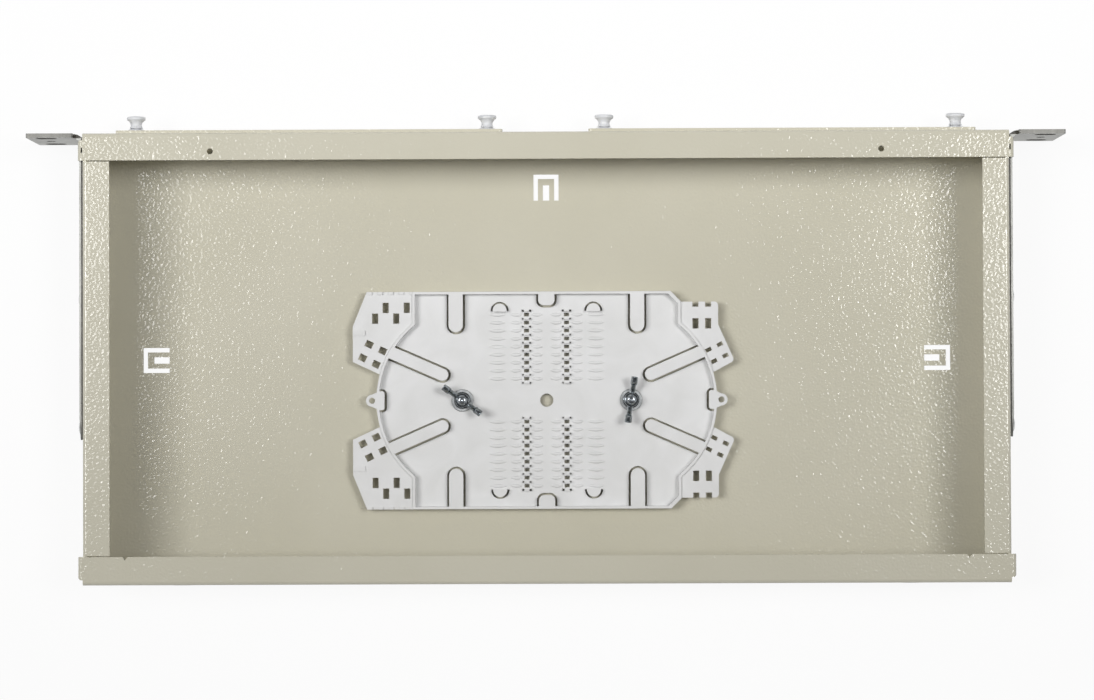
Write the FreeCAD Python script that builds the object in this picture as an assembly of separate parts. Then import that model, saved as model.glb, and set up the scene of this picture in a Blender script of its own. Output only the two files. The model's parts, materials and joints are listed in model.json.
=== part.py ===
import FreeCAD, Part
import math
import os

# Open fibre distribution box for a 19-inch rack, one unit high, with its splice tray.
# Millimetres, +Z up, front towards -Y, origin on the underside in the middle of the case.

# Widths set by the rack: span over the ears, and how far each ear stands out from the case
EAR_SPAN = 482.6
EAR_REACH = 26.3

# Case of folded sheet steel, as wide as the ears leave room for
CASE_WIDTH = EAR_SPAN - 2 * EAR_REACH
CASE_DEPTH = 209.8
CASE_HEIGHT = 44.0
SHEET = 1.2
BEND_INSIDE = 0.6
FRONT_FLANGE = 12.7
BACK_FLANGE = 13.2
SIDE_FLANGE = 12.5
FLANGE_SEAM = 0.5
LIP_HEIGHT = 4.0
LIP_GAP = 1.0
FRONT_LIP_SETBACK = 3.3
BACK_LIP_SETBACK = 2.5
LIP_CHAMFER = 1.0
LIP_SLIT_LENGTH = 2.5
LIP_SLIT_WIDTH = 0.7
LID_HOLE_DIAMETER = 2.8
LID_HOLE_INSET = 59.3
LID_HOLE_FROM_FRONT = 8.7
LID_COLLAR_DIAMETER = 4.4
LID_COLLAR_DEPTH = 2.4
NOTCH_WIDTH = 2.4
NOTCH_DEPTH = 1.6
NOTCH_INSET = 19.6

# Cable tie anchors lanced in the floor
ANCHOR_LENGTH = 12.4
ANCHOR_WIDTH = 11.9
ANCHOR_SLIT = 2.1
ANCHOR_SLOT_LENGTH = 7.3
ANCHOR_SLOT_WIDTH = 3.0
SIDE_ANCHOR_INSET = 23.2
FRONT_ANCHOR_INSET = 17.1

# Cable entries in the back wall, each with a rubber grommet
ENTRY_DIAMETER = 20.5
ENTRY_INSET = 45.0
ENTRY_LIP = 2.4
ENTRY_LIP_THICKNESS = 1.2
ENTRY_BORE = 12.0
ENTRY_CLEARANCE = 0.1

# Adapter plates over two windows in the front wall
PLATE_SIDE_MARGIN = 15.0
PLATE_MIDDLE_GAP = 40.0
PLATE_HEIGHT = 37.0
PLATE_THICKNESS = 1.5
PLATE_CORNER = 1.5
WINDOW_INSET = 17.0
WINDOW_HEIGHT = 30.0
WINDOW_CORNER = 3.0
ADAPTER_COUNT = 6
ADAPTER_ROW_INSET = 3.0
ADAPTER_WIDTH = 9.6
ADAPTER_HEIGHT = 13.2
ADAPTER_SCREW_SPACING = 18.0
ADAPTER_SCREW_DIAMETER = 2.4

# Push-pull latches that hold the plates
LATCH_INSET = 7.5
LATCH_HOLE = 6.6
LATCH_HOLE_CLEARANCE = 0.1
GROMMET_FLANGE_DIAMETER = 10.0
GROMMET_FLANGE_HEIGHT = 2.0
GROMMET_LEG_LENGTH = 4.5
GROMMET_BARB = 0.5
GROMMET_SLOT = 0.8
PLUNGER_SHAFT = 4.0
PLUNGER_FIT = 0.06
PLUNGER_NECK = 5.1
PLUNGER_HEAD = 8.8
PLUNGER_STAND = 7.9
PLUNGER_COLLAR = 1.6
PLUNGER_RIM = 0.9
PLUNGER_CROWN = 0.6
PLUNGER_TIP = 2.0
LATCH_GAP = 0.3

# Rack ears, L-shaped brackets of bare sheet steel
EAR_HEIGHT = 43.6
EAR_SHEET = 2.0
EAR_BEND_INSIDE = 2.6
EAR_LEG_LENGTH = 142.4
EAR_TAPER_LENGTH = 10.0
EAR_TAPER_DROP = 4.5
EAR_LIP_CLEARANCE = 0.5
EAR_CORNER = 0.8
RACK_HOLE_INSET = 8.75
RACK_HOLE_RISE = 31.75
RACK_SLOT_LENGTH = 10.0
RACK_SLOT_WIDTH = 6.8
RACK_MIDDLE_HOLE = 4.2

# Screws and clinch nuts that fasten the ears
EAR_SCREW_END_INSET = 5.7
EAR_SCREW_SPACING = 60.0
SCREW_DIAMETER = 4.0
SCREW_HOLE_CLEARANCE = 0.2
SCREW_HEAD_DIAMETER = 8.0
SCREW_HEAD_HEIGHT = 2.6
SCREW_HEAD_RIM = 1.0
SCREW_RECESS_LENGTH = 4.2
SCREW_RECESS_WIDTH = 0.9
SCREW_RECESS_DEPTH = 1.4
SCREW_TIP = 0.8
CLINCH_NUT_DIAMETER = 8.0
CLINCH_NUT_HEIGHT = 2.6
CLINCH_NUT_FIT = 0.05

# Splice tray, one moulding that stands on the case floor
TRAY_BEHIND_MIDDLE = 19.6
TRAY_HEIGHT = 7.5
TRAY_FLOOR = 1.5
TRAY_LIFT = 1.8
TRAY_BOSS = 12.4
TRAY_WALL = 1.3
TRAY_HALF_DEPTH = 51.5
TRAY_SHOULDER = 63.6
TRAY_SHOULDER_CHAMFER = 4.8
TRAY_END_RADIUS = 47.5
TRAY_END_CENTRE = 33.2
TRAY_CENTRE_HOLE = 6.3
SLIT = 0.8

# Tongues at the top of the tray wall and the openings in the floor below them
TONGUE_THICKNESS = 1.4
LONG_TONGUE_PLACE = 43.0
LONG_TONGUE_WIDTH = 6.8
LONG_TONGUE_REACH = 19.2
SHORT_TONGUE_WIDTH = 7.8
SHORT_TONGUE_REACH = 6.6
SHORT_TONGUE_CORNER = 2.6
SLANT_TONGUE_WIDTH = 5.8
SLANT_TONGUE_ANGLE = 23.6
SLANT_TONGUE_END_X = 49.4
SLANT_TONGUE_END_Y = 12.2
HALF_TONGUE_RADIUS = 3.3
HALF_TONGUE_PLACE = 22.2

# Wings of the tray, where cable tubes are tied down
WING_LEVEL = 4.8
WING_THICKNESS = 1.6
WING_RIM_WIDTH = 1.3
WING_RIM_HEIGHT = 1.0
ENTRY_WING_TOP = 85.2
ENTRY_WING_END = 91.8
ENTRY_WING_SHOULDER = 35.2
ENTRY_WING_FOOT = 18.4
ENTRY_WING_ROOT_X = 79.4
ENTRY_WING_ROOT_Y = 12.6
TIE_HOLE_WIDTH = 2.9
TIE_HOLE_LENGTH = 4.9
TIE_HOLE_COUNT = 4
TIE_HOLE_FIRST = 66.2
TIE_HOLE_PITCH = 5.0
TIE_HOLE_OUTER_ROW = 44.0
TIE_HOLE_INNER_ROW = 38.9
TUBE_HOLE_ANGLE = 26.0
TUBE_HOLE_WIDTH = 3.2
TUBE_HOLE_LENGTH = 3.6
TUBE_HOLE_PITCH = 7.1
TUBE_HOLE_MIDDLE_X = 82.4
TUBE_HOLE_MIDDLE_Y = 22.0
NUB_LENGTH = 5.8
NUB_WIDTH = 2.6
NUB_HEIGHT = 0.8
NUB_PLACE = 33.4
EXIT_WING_TOP = 46.4
EXIT_WING_SIDE = 81.3
EXIT_WING_SHOULDER = 35.6
EXIT_WING_END = 89.0
EXIT_WING_FOOT = 18.4
EXIT_WING_ROOT_X = 79.0
EXIT_WING_ROOT_Y = 13.0
EXIT_WING_CORNER = 1.8
EXIT_NOTCH_DEPTH = 2.4
EXIT_HOLE_FIRST = 70.6
EXIT_HOLE_PITCH = 6.0
EXIT_HOLE_ROW = 36.1
EXIT_TUBE_HOLE_WIDTH = 1.9
EXIT_TUBE_HOLE_LENGTH = 2.9
EXIT_TUBE_HOLE_PITCH = 6.0
EXIT_TUBE_HOLE_MIDDLE_X = 80.7
EXIT_TUBE_HOLE_MIDDLE_Y = 22.2

# End lugs of the tray
LUG_HOLE_PLACE = 82.7
LUG_HOLE_DIAMETER = 2.8
LUG_END_RADIUS = 2.9
LUG_HALF_WIDTH = 4.5
LUG_INSIDE = 2.6
LUG_CORNER = 1.2

# Splice combs, two blocks of pointed fingers with rows of snap posts
COMB_ROW_COUNT = 10
COMB_PITCH = 3.8
COMB_FIRST_ROW = 8.3
COMB_HEIGHT = 3.0
FINGER_RISE = 0.9
FINGER_THICKNESS = 1.8
INNER_COLUMN = 9.5
INNER_FINGER_LENGTH = 5.4
OUTER_COLUMN = 23.3
OUTER_FINGER_LENGTH = 8.4
POST_WIDTH = 2.4
POST_THICKNESS = 1.0
POST_GAP = 1.1
COMB_HOLE_WIDTH = 2.4
COMB_HOLE_LENGTH = 1.65
SNAP_HOLE = 0.7

# Studs, washers and wing nuts that hold the tray
STUD_SPACING = 80.0
STUD_DIAMETER = 5.0
STUD_LENGTH = 13.2
STUD_CLEARANCE = 0.1
STUD_HEAD_DIAMETER = 7.8
STUD_HEAD_THICKNESS = 0.7
STUD_CHAMFER = 0.5
WASHER_DIAMETER = 10.6
WASHER_HOLE = 5.3
WASHER_THICKNESS = 1.0
TRAY_STUD_HOLE = 5.6
NUT_GAP = 0.2
NUT_FIT = 0.06
NUT_BASE = 8.0
NUT_TOP = 6.6
NUT_HUB_HEIGHT = 5.0
WING_SPAN = 22.6
WING_BLADE = 2.3
WING_LOBE = 2.9
WING_LOBE_RADIUS = 2.0
WING_RISE = 7.4
WING_ROOT_LOW = 0.5
WING_ROOT_HIGH = 4.5
LEFT_NUT_TURN = 81.0
RIGHT_NUT_TURN = 144.0

# Values worked out from the sizes above
V = FreeCAD.Vector
PLATE_WIDTH = (CASE_WIDTH - PLATE_MIDDLE_GAP) / 2 - PLATE_SIDE_MARGIN
PLATE_SPACING = PLATE_WIDTH + PLATE_MIDDLE_GAP
LATCH_SPACING = PLATE_WIDTH - 2 * LATCH_INSET
WINDOW_WIDTH = PLATE_WIDTH - 2 * WINDOW_INSET
ADAPTER_PITCH = (WINDOW_WIDTH - 2 * ADAPTER_ROW_INSET) / ADAPTER_COUNT
HALF_WIDTH = CASE_WIDTH / 2
FRONT = -CASE_DEPTH / 2
BACK = CASE_DEPTH / 2
MIDDLE_HEIGHT = CASE_HEIGHT / 2
BEND_OUTSIDE = BEND_INSIDE + SHEET
NEAR = 0.5
TRAY_BASE = SHEET
TRAY_MIDDLE = V(0, TRAY_BEHIND_MIDDLE, 0)
FLOOR_TOP = TRAY_LIFT + TRAY_FLOOR
COMB_TOP = FLOOR_TOP + COMB_HEIGHT
STUD_SEAT = TRAY_BASE + FLOOR_TOP
NUT_SEAT = STUD_SEAT + WASHER_THICKNESS + NUT_GAP
SIDES = (("left", -1), ("right", 1))


def box(x0, x1, y0, y1, z0, z1):
    """A block between two corners."""
    return Part.makeBox(x1 - x0, y1 - y0, z1 - z0, V(x0, y0, z0))


def prism(points, z0, z1):
    """A straight block on a polygon in the XY plane."""
    corners = [V(x, y, z0) for x, y in points]
    face = Part.Face(Part.makePolygon(corners + corners[:1]))
    return face.extrude(V(0, 0, z1 - z0))


def rod(diameter, length, base, direction=V(0, 0, 1)):
    return Part.makeCylinder(diameter / 2, length, base, direction)


def mirror_x(shape):
    return shape.mirror(V(0, 0, 0), V(1, 0, 0))


def mirror_y(shape):
    return shape.mirror(V(0, 0, 0), V(0, 1, 0))


def on_side(shape, side):
    """The shape on its own side, or mirrored to the -X side."""
    return shape if side > 0 else mirror_x(shape)


def edges_along(shape, direction):
    """The straight edges of a shape that run one way."""
    found = []
    for edge in shape.Edges:
        if isinstance(edge.Curve, Part.Line) and edge.Curve.Direction.cross(direction).Length < 0.001:
            found.append(edge)
    return found


def rounded_box(x0, x1, y0, y1, z0, z1, radius, direction):
    """A block with the four edges that run one way rounded."""
    block = box(x0, x1, y0, y1, z0, z1)
    return block.makeFillet(radius, edges_along(block, direction))


def slot_along_y(x, z, length, width, y0, y1):
    """A slot through a wall that faces Y, its length along X."""
    straight = (length - width) / 2
    cutter = box(x - straight, x + straight, y0, y1, z - width / 2, z + width / 2)
    ends = [rod(width, y1 - y0, V(x + end * straight, y0, z), V(0, 1, 0)) for end in (-1, 1)]
    return cutter.multiFuse(ends)


def stadium(x, y, width, reach, angle, z0, z1):
    """A bar with a round end centred at x, y, reaching back along an angle."""
    bar = box(0, reach, -width / 2, width / 2, z0, z1).fuse(rod(width, z1 - z0, V(0, 0, z0)))
    bar.rotate(V(0, 0, 0), V(0, 0, 1), angle)
    bar.translate(V(x, y, 0))
    return bar


def turned_hole(x, y, width, length, angle, z0, z1):
    """A rectangular hole turned about the vertical."""
    cutter = box(-width / 2, width / 2, -length / 2, length / 2, z0, z1)
    cutter.rotate(V(0, 0, 0), V(0, 0, 1), angle)
    cutter.translate(V(x, y, 0))
    return cutter


def arc_middle(along, aside):
    """Middle of an arc that sets off straight along and ends to one side of that line."""
    turn = math.atan2(aside, along)
    radius = (along ** 2 + aside ** 2) / (2 * aside)
    return radius * math.sin(turn), radius * (1 - math.cos(turn))


def spun(points):
    """A solid of revolution about Z from a profile of lines (pairs) and arcs (through, end)."""
    edges = []
    start = V(points[0][0], 0, points[0][1])
    for point in points[1:]:
        if len(point) == 2:
            end = V(point[0], 0, point[1])
            edges.append(Part.LineSegment(start, end).toShape())
        else:
            through = V(point[0], 0, point[1])
            end = V(point[2], 0, point[3])
            edges.append(Part.Arc(start, through, end).toShape())
        start = end
    face = Part.Face(Part.Wire(edges))
    return face.revolve(V(0, 0, 0), V(0, 0, 1), 360)


def latch_places():
    """Where the latches stand along X, from left to right."""
    places = []
    for _, side in SIDES:
        for end in (-1, 1):
            places.append(side * PLATE_SPACING / 2 + end * LATCH_SPACING / 2)
    return places


def entry_place(side):
    return side * (HALF_WIDTH - ENTRY_INSET)


def ear_screw_places():
    """Where the ear screws stand along Y, front one first, counted from the end of the leg."""
    rear = FRONT + EAR_LEG_LENGTH - EAR_SCREW_END_INSET
    return [rear - EAR_SCREW_SPACING, rear]


def stud_axis(side):
    return TRAY_MIDDLE + V(side * STUD_SPACING / 2, 0, 0)


def case_channel():
    """Floor, front wall and back wall with their top flanges, as one fold."""
    outside = rounded_box(-HALF_WIDTH, HALF_WIDTH, FRONT, BACK, 0, CASE_HEIGHT, BEND_OUTSIDE, V(1, 0, 0))
    inside = rounded_box(-HALF_WIDTH, HALF_WIDTH, FRONT + SHEET, BACK - SHEET,
                         SHEET, CASE_HEIGHT - SHEET, BEND_INSIDE, V(1, 0, 0))
    mouth = box(-HALF_WIDTH, HALF_WIDTH, FRONT + FRONT_FLANGE, BACK - BACK_FLANGE,
                MIDDLE_HEIGHT, CASE_HEIGHT)
    reliefs = [on_side(box(HALF_WIDTH - BEND_OUTSIDE, HALF_WIDTH, FRONT, BACK, 0, BEND_OUTSIDE), side)
               for _, side in SIDES]
    return outside, outside.cut(inside).cut(mouth).cut(Part.makeCompound(reliefs))


def case_side_walls(outside):
    """Side walls with their top flanges, between the front and back walls."""
    skin = rounded_box(-HALF_WIDTH, HALF_WIDTH, FRONT + SHEET, BACK - SHEET, 0, CASE_HEIGHT,
                       BEND_OUTSIDE, V(0, 1, 0))
    hollow = rounded_box(SHEET - HALF_WIDTH, HALF_WIDTH - SHEET, FRONT + SHEET, BACK - SHEET,
                         SHEET, CASE_HEIGHT - SHEET, BEND_INSIDE, V(0, 1, 0))
    mouth = box(SIDE_FLANGE - HALF_WIDTH, HALF_WIDTH - SIDE_FLANGE, FRONT, BACK,
                MIDDLE_HEIGHT, CASE_HEIGHT)
    front_strip = box(-HALF_WIDTH, HALF_WIDTH, FRONT, FRONT + FRONT_FLANGE + FLANGE_SEAM,
                      CASE_HEIGHT - SHEET, CASE_HEIGHT)
    back_strip = box(-HALF_WIDTH, HALF_WIDTH, BACK - BACK_FLANGE - FLANGE_SEAM, BACK,
                     CASE_HEIGHT - SHEET, CASE_HEIGHT)
    return skin.cut([hollow, mouth, front_strip, back_strip]).common(outside)


def end_lip(y0, y1):
    """The end of a flange strip folded down over the outside of the +X side wall."""
    reach = HALF_WIDTH + LIP_GAP + SHEET
    lip = box(HALF_WIDTH - SHEET, reach, y0, y1, CASE_HEIGHT - LIP_HEIGHT, CASE_HEIGHT)
    corner = [edge for edge in edges_along(lip, V(0, 1, 0))
              if edge.CenterOfMass.x > HALF_WIDTH and edge.CenterOfMass.z > CASE_HEIGHT - SHEET]
    lip = lip.makeFillet(min(BEND_OUTSIDE, LIP_GAP + SHEET), corner)
    room = box(HALF_WIDTH - 2 * SHEET, HALF_WIDTH + LIP_GAP, y0, y1,
               CASE_HEIGHT - LIP_HEIGHT, CASE_HEIGHT - SHEET)
    chamfer = prism([(reach - LIP_CHAMFER, y0), (reach, y0), (reach, y0 + LIP_CHAMFER)],
                    CASE_HEIGHT - LIP_HEIGHT, CASE_HEIGHT)
    return lip.cut(room).cut(chamfer)


def case_lips():
    front_lip = end_lip(FRONT + FRONT_LIP_SETBACK, FRONT + FRONT_FLANGE)
    back_lip = mirror_y(end_lip(FRONT + BACK_LIP_SETBACK, FRONT + BACK_FLANGE))
    return [on_side(lip, side) for lip in (front_lip, back_lip) for _, side in SIDES]


def tie_anchor():
    """Cutter of one tie anchor, its slit's closed end at the origin and its root towards +X."""
    half = ANCHOR_WIDTH / 2
    slit = box(0, ANCHOR_LENGTH, -half, half, 0, SHEET)
    tab = box(ANCHOR_SLIT, ANCHOR_LENGTH, ANCHOR_SLIT - half, half - ANCHOR_SLIT, 0, SHEET)
    slot = box(ANCHOR_LENGTH - ANCHOR_SLOT_LENGTH, ANCHOR_LENGTH,
               -ANCHOR_SLOT_WIDTH / 2, ANCHOR_SLOT_WIDTH / 2, 0, SHEET)
    return slit.cut(tab).fuse(slot)


def floor_cutters():
    """Tie anchors and stud holes through the case floor."""
    at_left = tie_anchor()
    at_left.translate(V(SIDE_ANCHOR_INSET - HALF_WIDTH, 0, 0))
    at_front = tie_anchor()
    at_front.rotate(V(0, 0, 0), V(0, 0, 1), 90)
    at_front.translate(V(0, FRONT + FRONT_ANCHOR_INSET, 0))
    cutters = [at_left, mirror_x(at_left), at_front]
    for _, side in SIDES:
        place = stud_axis(side)
        cutters.append(rod(STUD_DIAMETER + 2 * STUD_CLEARANCE, SHEET, place))
        cutters.append(rod(STUD_HEAD_DIAMETER + 2 * STUD_CLEARANCE, STUD_HEAD_THICKNESS, place))
    return cutters


def lid_hole_place(side, z):
    return V(side * (HALF_WIDTH - LID_HOLE_INSET), FRONT + LID_HOLE_FROM_FRONT, z)


def lid_collars():
    """Rims drawn down round the lid screw holes, deep enough for a thread."""
    low = CASE_HEIGHT - SHEET - LID_COLLAR_DEPTH
    return [rod(LID_COLLAR_DIAMETER, LID_COLLAR_DEPTH, lid_hole_place(side, low)) for _, side in SIDES]


def flange_cutters():
    """Lid screw holes and slits in the front flange, notches in the back flange."""
    cutters = []
    under = CASE_HEIGHT - SHEET
    for _, side in SIDES:
        hole = lid_hole_place(side, under - LID_COLLAR_DEPTH)
        cutters.append(rod(LID_HOLE_DIAMETER, LID_COLLAR_DEPTH + SHEET, hole))
        middle = side * (HALF_WIDTH - NOTCH_INSET)
        edge = BACK - BACK_FLANGE
        half = NOTCH_WIDTH / 2
        notch = [(middle - half, edge), (middle + half, edge), (middle, edge + NOTCH_DEPTH)]
        cutters.append(prism(notch, under, CASE_HEIGHT))
        slit_middle = FRONT + (FRONT_LIP_SETBACK + FRONT_FLANGE) / 2
        slit = box(HALF_WIDTH, HALF_WIDTH + LIP_SLIT_WIDTH, slit_middle - LIP_SLIT_LENGTH / 2,
                   slit_middle + LIP_SLIT_LENGTH / 2, under, CASE_HEIGHT)
        cutters.append(on_side(slit, side))
    return cutters


def wall_cutters():
    """Windows, latch holes, cable entries and ear screw holes through the four walls."""
    cutters = []
    for _, side in SIDES:
        middle = side * PLATE_SPACING / 2
        cutters.append(rounded_box(middle - WINDOW_WIDTH / 2, middle + WINDOW_WIDTH / 2,
                                   FRONT, FRONT + SHEET,
                                   MIDDLE_HEIGHT - WINDOW_HEIGHT / 2, MIDDLE_HEIGHT + WINDOW_HEIGHT / 2,
                                   WINDOW_CORNER, V(0, 1, 0)))
        entry = V(entry_place(side), BACK - SHEET, MIDDLE_HEIGHT)
        cutters.append(rod(ENTRY_DIAMETER, SHEET, entry, V(0, 1, 0)))
        for y in ear_screw_places():
            hole = rod(SCREW_DIAMETER + 2 * SCREW_HOLE_CLEARANCE, SHEET,
                       V(HALF_WIDTH - SHEET, y, MIDDLE_HEIGHT), V(1, 0, 0))
            cutters.append(on_side(hole, side))
    for x in latch_places():
        cutters.append(rod(LATCH_HOLE, SHEET, V(x, FRONT, MIDDLE_HEIGHT), V(0, 1, 0)))
    return cutters


def case():
    outside, channel = case_channel()
    folded = channel.multiFuse([case_side_walls(outside)] + case_lips() + lid_collars())
    cutters = floor_cutters() + flange_cutters() + wall_cutters()
    return folded.cut(cutters).removeSplitter()


def adapter_plate(side):
    """A flat plate with a row of adapter cut-outs and their screw holes."""
    middle = side * PLATE_SPACING / 2
    face = FRONT - PLATE_THICKNESS
    plate = rounded_box(middle - PLATE_WIDTH / 2, middle + PLATE_WIDTH / 2, face, FRONT,
                        MIDDLE_HEIGHT - PLATE_HEIGHT / 2, MIDDLE_HEIGHT + PLATE_HEIGHT / 2,
                        PLATE_CORNER, V(0, 1, 0))
    cutters = []
    for index in range(ADAPTER_COUNT):
        x = middle + (index - (ADAPTER_COUNT - 1) / 2) * ADAPTER_PITCH
        cutters.append(box(x - ADAPTER_WIDTH / 2, x + ADAPTER_WIDTH / 2, face, FRONT,
                           MIDDLE_HEIGHT - ADAPTER_HEIGHT / 2, MIDDLE_HEIGHT + ADAPTER_HEIGHT / 2))
        for rise in (-1, 1):
            hole = V(x, face, MIDDLE_HEIGHT + rise * ADAPTER_SCREW_SPACING / 2)
            cutters.append(rod(ADAPTER_SCREW_DIAMETER, PLATE_THICKNESS, hole, V(0, 1, 0)))
    for end in (-1, 1):
        hole = V(middle + end * LATCH_SPACING / 2, face, MIDDLE_HEIGHT)
        cutters.append(rod(LATCH_HOLE, PLATE_THICKNESS, hole, V(0, 1, 0)))
    return plate.cut(cutters)


def at_latch(shape, x):
    """Turns a latch piece made along +Z to point out of the plate at x."""
    shape.rotate(V(0, 0, 0), V(1, 0, 0), 90)
    shape.translate(V(x, FRONT - PLATE_THICKNESS, MIDDLE_HEIGHT))
    return shape


def latch_grommet(x):
    """A domed collar with a split sleeve whose barbs grip behind the wall."""
    bore = PLUNGER_SHAFT / 2 + PLUNGER_FIT
    sleeve = LATCH_HOLE / 2 - LATCH_HOLE_CLEARANCE
    barb = LATCH_HOLE / 2 + GROMMET_BARB
    collar = GROMMET_FLANGE_DIAMETER / 2
    seat = -(PLATE_THICKNESS + SHEET + LATCH_HOLE_CLEARANCE)
    end = seat - GROMMET_LEG_LENGTH
    top = GROMMET_FLANGE_HEIGHT
    crown = PLUNGER_NECK / 2
    out, down = arc_middle(collar - crown, top)
    body = spun([
        (bore, end), (sleeve, end), (barb, seat - GROMMET_BARB), (barb, seat), (sleeve, seat),
        (sleeve, 0), (collar, 0), (crown + out, top - down, crown, top), (bore, top), (bore, end),
    ])
    slots = [box(-barb, barb, -GROMMET_SLOT / 2, GROMMET_SLOT / 2, end, seat),
             box(-GROMMET_SLOT / 2, GROMMET_SLOT / 2, -barb, barb, end, seat)]
    return at_latch(body.cut(slots), x)


def latch_plunger(x):
    """A trumpet-shaped knob on a shaft that runs through the grommet."""
    shaft = PLUNGER_SHAFT / 2
    neck = PLUNGER_NECK / 2
    head = PLUNGER_HEAD / 2
    tip = -(PLATE_THICKNESS + SHEET + GROMMET_LEG_LENGTH + PLUNGER_TIP)
    root = GROMMET_FLANGE_HEIGHT + LATCH_GAP
    flare = root + PLUNGER_COLLAR
    shoulder = PLUNGER_STAND - PLUNGER_CROWN
    rim = shoulder - PLUNGER_RIM
    tip_out, tip_up = arc_middle(shaft, shaft)
    flare_up, flare_out = arc_middle(rim - flare, head - neck)
    crown_out, crown_down = arc_middle(head, PLUNGER_CROWN)
    body = spun([
        (0, tip), (tip_out, tip + tip_up, shaft, tip + shaft), (shaft, root), (neck, root),
        (neck, flare), (neck + flare_out, flare + flare_up, head, rim), (head, shoulder),
        (crown_out, PLUNGER_STAND - crown_down, 0, PLUNGER_STAND), (0, tip),
    ])
    return at_latch(body, x)


def rack_ear(side):
    """A bracket with a leg along the side wall and a slotted face at the front."""
    outer = EAR_BEND_INSIDE + EAR_SHEET
    inner_face = HALF_WIDTH
    leg_rise = MIDDLE_HEIGHT - LIP_HEIGHT - EAR_LIP_CLEARANCE
    leg_low = MIDDLE_HEIGHT - leg_rise
    leg_high = MIDDLE_HEIGHT + leg_rise
    bend = V(inner_face + outer, FRONT + outer, leg_low)
    leg_end = FRONT + EAR_LEG_LENGTH
    taper = leg_end - EAR_TAPER_LENGTH
    drop = EAR_TAPER_DROP
    outline = [(FRONT + outer, leg_low), (taper, leg_low), (leg_end, leg_low + drop),
               (leg_end, leg_high - drop), (taper, leg_high), (FRONT + outer, leg_high)]
    corners = [V(inner_face, y, z) for y, z in outline]
    leg = Part.Face(Part.makePolygon(corners + corners[:1])).extrude(V(EAR_SHEET, 0, 0))
    width = leg_high - leg_low
    elbow = rod(2 * outer, width, bend).cut(rod(2 * EAR_BEND_INSIDE, width, bend))
    quarter = box(inner_face, inner_face + outer, FRONT, FRONT + outer, leg_low, leg_high)
    tip = EAR_SPAN / 2
    low = MIDDLE_HEIGHT - EAR_HEIGHT / 2
    high = MIDDLE_HEIGHT + EAR_HEIGHT / 2
    face = rounded_box(inner_face + outer, tip, FRONT, FRONT + EAR_SHEET, low, high,
                       EAR_CORNER, V(0, 1, 0))
    bracket = leg.multiFuse([elbow.common(quarter), face])
    cutters = []
    column = tip - RACK_HOLE_INSET
    for rise in (-1, 1):
        cutters.append(slot_along_y(column, MIDDLE_HEIGHT + rise * RACK_HOLE_RISE / 2, RACK_SLOT_LENGTH,
                                    RACK_SLOT_WIDTH, FRONT, FRONT + EAR_SHEET))
    cutters.append(rod(RACK_MIDDLE_HOLE, EAR_SHEET, V(column, FRONT, MIDDLE_HEIGHT), V(0, 1, 0)))
    for y in ear_screw_places():
        cutters.append(rod(SCREW_DIAMETER + 2 * SCREW_HOLE_CLEARANCE, EAR_SHEET,
                           V(inner_face, y, MIDDLE_HEIGHT), V(1, 0, 0)))
    return on_side(bracket.cut(cutters).removeSplitter(), side)


def ear_screw(side, y):
    """A pan-head screw with a cross recess, its head on the ear's leg."""
    head = SCREW_HEAD_DIAMETER / 2
    shank = SCREW_DIAMETER / 2
    length = EAR_SHEET + SHEET + CLINCH_NUT_HEIGHT + SCREW_TIP
    top = SCREW_HEAD_HEIGHT
    chamfer = SCREW_TIP / 2
    crown_out, crown_down = arc_middle(head, top - SCREW_HEAD_RIM)
    body = spun([
        (0, -length), (shank - chamfer, -length), (shank, chamfer - length), (shank, 0), (head, 0),
        (head, SCREW_HEAD_RIM), (crown_out, top - crown_down, 0, top), (0, -length),
    ])
    low = top - SCREW_RECESS_DEPTH
    arm = SCREW_RECESS_LENGTH / 2
    half = SCREW_RECESS_WIDTH / 2
    body = body.cut([box(-arm, arm, -half, half, low, top), box(-half, half, -arm, arm, low, top)])
    body.rotate(V(0, 0, 0), V(0, 1, 0), 90)
    body.translate(V(HALF_WIDTH + EAR_SHEET, y, MIDDLE_HEIGHT))
    return on_side(body, side)


def clinch_nut(side, y):
    """A round press nut on the inside of the side wall."""
    inside = HALF_WIDTH - SHEET
    base = V(inside - CLINCH_NUT_HEIGHT, y, MIDDLE_HEIGHT)
    ring = rod(CLINCH_NUT_DIAMETER, CLINCH_NUT_HEIGHT, base, V(1, 0, 0))
    bore = rod(SCREW_DIAMETER + 2 * CLINCH_NUT_FIT, CLINCH_NUT_HEIGHT, base, V(1, 0, 0))
    return on_side(ring.cut(bore), side)


def cable_grommet(side):
    """A rubber ring that grips the back wall round a cable entry."""
    waist = ENTRY_DIAMETER / 2 - ENTRY_CLEARANCE
    lip = ENTRY_DIAMETER / 2 + ENTRY_LIP
    bore = ENTRY_BORE / 2
    inside = -SHEET - ENTRY_LIP_THICKNESS
    round_off = ENTRY_LIP_THICKNESS / 2
    ring = spun([
        (bore, inside), (lip - round_off, inside), (lip, inside + round_off), (lip, -SHEET),
        (waist, -SHEET), (waist, 0), (lip, 0), (lip, round_off),
        (lip - round_off, ENTRY_LIP_THICKNESS), (bore, ENTRY_LIP_THICKNESS), (bore, inside),
    ])
    ring.rotate(V(0, 0, 0), V(1, 0, 0), -90)
    ring.translate(V(entry_place(side), BACK, MIDDLE_HEIGHT))
    return ring


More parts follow.
